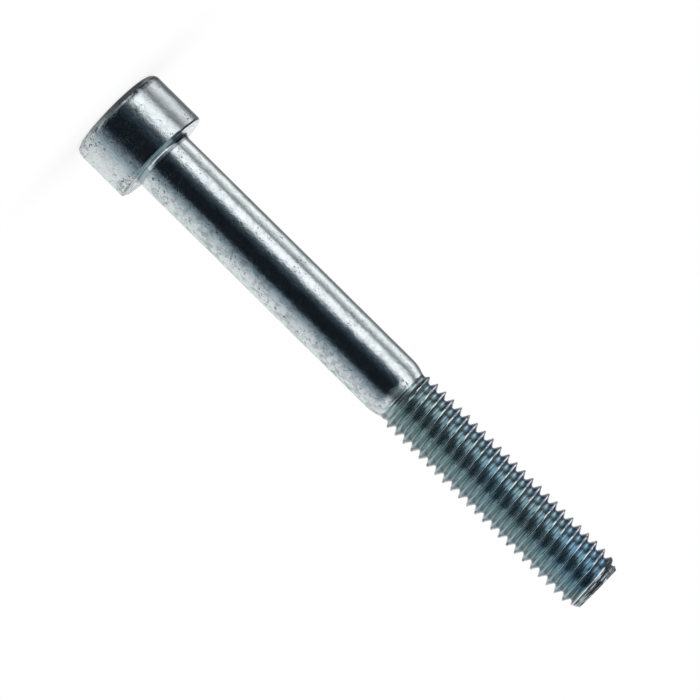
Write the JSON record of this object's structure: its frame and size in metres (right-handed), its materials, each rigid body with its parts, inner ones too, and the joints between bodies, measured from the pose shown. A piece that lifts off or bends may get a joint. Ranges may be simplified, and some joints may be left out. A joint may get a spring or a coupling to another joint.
{
  "type": "hex socket head cap screw",
  "caption": "Hex socket head cap screw with a smooth round head, a plain shank and a rolled right-hand metric thread.",
  "frame": {"origin": "centre of the socket face, on which the screw stands with its point up", "axes": "+Z along the screw's axis from the head to the point, +X towards a corner of the hex socket"},
  "size_m": [0.0098, 0.0098, 0.061],
  "materials": {
    "zinc_plated_steel": "bright zinc plating with a thin blue-green passivation tint, fine pits and specks"
  },
  "bodies": {
    "root": {"cap_screw": "zinc_plated_steel"}
  },
  "joints": []
}
